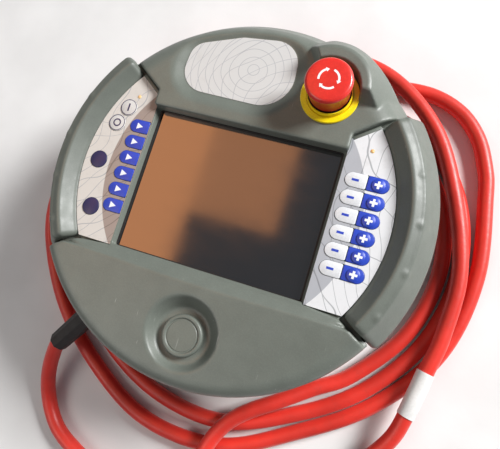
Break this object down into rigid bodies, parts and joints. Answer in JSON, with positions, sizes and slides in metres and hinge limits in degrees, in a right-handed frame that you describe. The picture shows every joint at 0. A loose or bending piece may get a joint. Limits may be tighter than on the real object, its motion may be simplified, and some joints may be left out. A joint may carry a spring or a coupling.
{
  "type": "teach pendant",
  "caption": "Round hand-held robot teach pendant with a sunk touch screen, keypads, stop button, side grips, rear grip ring and long cable.",
  "frame": {"origin": "on the standing surface, under the centre of the round housing", "axes": "+X to the right of the screen, +Y towards the nameplate, +Z out of the face"},
  "size_m": [0.3387, 0.3698, 0.1086],
  "materials": {
    "housing": "moulded, fine grain",
    "rear_housing": "moulded, fine grain",
    "grip_rubber": "soft-touch",
    "black_rubber": "matt",
    "screw_steel": "plated",
    "plated_steel": "zinc plated",
    "screen_glass": "glossy touch glass",
    "circuit_board": "solder mask",
    "foil": "printed foil with fine lines",
    "status_light": "translucent",
    "nameplate": "printed foil",
    "light_key": "printed cap",
    "navy_key": "printed cap",
    "blue_key": "printed cap",
    "yellow_ring": "moulded",
    "black_plastic": "moulded",
    "pale_plastic": "moulded",
    "red_plastic": "moulded",
    "rear_grip": "moulded",
    "cable_jacket": "smooth jacket",
    "label": "blank sleeve",
    "plug_shell": "moulded",
    "plug_metal": "knurled"
  },
  "bodies": {
    "base": {"front_shell": "housing", "rear_shell": "rear_housing", "shell_seal": "black_rubber", "housing_screws": "screw_steel", "left_grip": "grip_rubber", "right_grip": "grip_rubber", "screen_glass": "screen_glass", "screen_seal": "black_rubber", "screen_module": "plated_steel", "screen_bracket": "plated_steel", "main_board": "circuit_board", "left_foil": "foil", "right_foil": "foil", "left_key_board": "circuit_board", "right_key_board": "circuit_board", "status_lights": "status_light", "nameplate": "nameplate", "stop_ring": "yellow_ring", "stop_body": "black_plastic", "stop_nut": "plated_steel", "stop_contacts": "pale_plastic", "blank_plug": "housing", "blank_nut": "plated_steel", "rear_grip": "rear_grip", "grip_screws": "screw_steel", "enabling_switches": "black_plastic", "cable_gland": "black_plastic", "cable_boot": "black_rubber", "cord_lead": "cable_jacket", "cord_turns": "cable_jacket", "cord_tail": "cable_jacket", "cord_label": "label", "plug_body": "plug_shell"},
    "on_key": {"on_key": "light_key"},
    "off_key": {"off_key": "light_key"},
    "round_key_1": {"round_key_1": "navy_key"},
    "round_key_2": {"round_key_2": "navy_key"},
    "soft_key_1": {"soft_key_1": "blue_key"},
    "soft_key_2": {"soft_key_2": "blue_key"},
    "soft_key_3": {"soft_key_3": "blue_key"},
    "soft_key_4": {"soft_key_4": "blue_key"},
    "soft_key_5": {"soft_key_5": "blue_key"},
    "soft_key_6": {"soft_key_6": "blue_key"},
    "minus_key_1": {"minus_key_1": "light_key"},
    "minus_key_2": {"minus_key_2": "light_key"},
    "minus_key_3": {"minus_key_3": "light_key"},
    "minus_key_4": {"minus_key_4": "light_key"},
    "minus_key_5": {"minus_key_5": "light_key"},
    "minus_key_6": {"minus_key_6": "light_key"},
    "plus_key_1": {"plus_key_1": "blue_key"},
    "plus_key_2": {"plus_key_2": "blue_key"},
    "plus_key_3": {"plus_key_3": "blue_key"},
    "plus_key_4": {"plus_key_4": "blue_key"},
    "plus_key_5": {"plus_key_5": "blue_key"},
    "plus_key_6": {"plus_key_6": "blue_key"},
    "stop_plunger": {"stop_plunger": "black_plastic"},
    "stop_head": {"stop_head": "red_plastic"},
    "left_enabling_key": {"left_enabling_key": "black_plastic"},
    "right_enabling_key": {"right_enabling_key": "black_plastic"},
    "plug_ring": {"plug_ring": "plug_metal"}
  },
  "joints": [
    {"name": "on_key_push", "type": "slide", "parent": "base", "child": "on_key", "axis": [0, 0, -1], "range_m": [0, 0.0004], "stiffness_N_per_m": 300},
    {"name": "off_key_push", "type": "slide", "parent": "base", "child": "off_key", "axis": [0, 0, -1], "range_m": [0, 0.0004], "stiffness_N_per_m": 300},
    {"name": "round_key_1_push", "type": "slide", "parent": "base", "child": "round_key_1", "axis": [0, 0, -1], "range_m": [0, 0.0004], "stiffness_N_per_m": 300},
    {"name": "round_key_2_push", "type": "slide", "parent": "base", "child": "round_key_2", "axis": [0, 0, -1], "range_m": [0, 0.0004], "stiffness_N_per_m": 300},
    {"name": "soft_key_1_push", "type": "slide", "parent": "base", "child": "soft_key_1", "axis": [0, 0, -1], "range_m": [0, 0.0004], "stiffness_N_per_m": 300},
    {"name": "soft_key_2_push", "type": "slide", "parent": "base", "child": "soft_key_2", "axis": [0, 0, -1], "range_m": [0, 0.0004], "stiffness_N_per_m": 300},
    {"name": "soft_key_3_push", "type": "slide", "parent": "base", "child": "soft_key_3", "axis": [0, 0, -1], "range_m": [0, 0.0004], "stiffness_N_per_m": 300},
    {"name": "soft_key_4_push", "type": "slide", "parent": "base", "child": "soft_key_4", "axis": [0, 0, -1], "range_m": [0, 0.0004], "stiffness_N_per_m": 300},
    {"name": "soft_key_5_push", "type": "slide", "parent": "base", "child": "soft_key_5", "axis": [0, 0, -1], "range_m": [0, 0.0004], "stiffness_N_per_m": 300},
    {"name": "soft_key_6_push", "type": "slide", "parent": "base", "child": "soft_key_6", "axis": [0, 0, -1], "range_m": [0, 0.0004], "stiffness_N_per_m": 300},
    {"name": "minus_key_1_push", "type": "slide", "parent": "base", "child": "minus_key_1", "axis": [0, 0, -1], "range_m": [0, 0.0004], "stiffness_N_per_m": 300},
    {"name": "minus_key_2_push", "type": "slide", "parent": "base", "child": "minus_key_2", "axis": [0, 0, -1], "range_m": [0, 0.0004], "stiffness_N_per_m": 300},
    {"name": "minus_key_3_push", "type": "slide", "parent": "base", "child": "minus_key_3", "axis": [0, 0, -1], "range_m": [0, 0.0004], "stiffness_N_per_m": 300},
    {"name": "minus_key_4_push", "type": "slide", "parent": "base", "child": "minus_key_4", "axis": [0, 0, -1], "range_m": [0, 0.0004], "stiffness_N_per_m": 300},
    {"name": "minus_key_5_push", "type": "slide", "parent": "base", "child": "minus_key_5", "axis": [0, 0, -1], "range_m": [0, 0.0004], "stiffness_N_per_m": 300},
    {"name": "minus_key_6_push", "type": "slide", "parent": "base", "child": "minus_key_6", "axis": [0, 0, -1], "range_m": [0, 0.0004], "stiffness_N_per_m": 300},
    {"name": "plus_key_1_push", "type": "slide", "parent": "base", "child": "plus_key_1", "axis": [0, 0, -1], "range_m": [0, 0.0004], "stiffness_N_per_m": 300},
    {"name": "plus_key_2_push", "type": "slide", "parent": "base", "child": "plus_key_2", "axis": [0, 0, -1], "range_m": [0, 0.0004], "stiffness_N_per_m": 300},
    {"name": "plus_key_3_push", "type": "slide", "parent": "base", "child": "plus_key_3", "axis": [0, 0, -1], "range_m": [0, 0.0004], "stiffness_N_per_m": 300},
    {"name": "plus_key_4_push", "type": "slide", "parent": "base", "child": "plus_key_4", "axis": [0, 0, -1], "range_m": [0, 0.0004], "stiffness_N_per_m": 300},
    {"name": "plus_key_5_push", "type": "slide", "parent": "base", "child": "plus_key_5", "axis": [0, 0, -1], "range_m": [0, 0.0004], "stiffness_N_per_m": 300},
    {"name": "plus_key_6_push", "type": "slide", "parent": "base", "child": "plus_key_6", "axis": [0, 0, -1], "range_m": [0, 0.0004], "stiffness_N_per_m": 300},
    {"name": "stop_push", "type": "slide", "parent": "base", "child": "stop_plunger", "axis": [0, 0, -1], "range_m": [0, 0.0045]},
    {"name": "stop_twist", "type": "hinge", "parent": "stop_plunger", "child": "stop_head", "pos_m": [0.046, 0.0755, 0.1], "axis": [0, 0, 1], "range_deg": [-35, 0], "stiffness_Nm_per_rad": 0.05},
    {"name": "left_enabling_key_squeeze", "type": "slide", "parent": "base", "child": "left_enabling_key", "axis": [1, 0, 0], "range_m": [0, 0.004], "stiffness_N_per_m": 500},
    {"name": "right_enabling_key_squeeze", "type": "slide", "parent": "base", "child": "right_enabling_key", "axis": [-1, 0, 0], "range_m": [0, 0.004], "stiffness_N_per_m": 500},
    {"name": "plug_ring_turn", "type": "hinge", "parent": "base", "child": "plug_ring", "pos_m": [0.10029, -0.17664, 0.012], "axis": [-0.6428, -0.766, 0], "range_deg": [0, 90]}
  ]
}
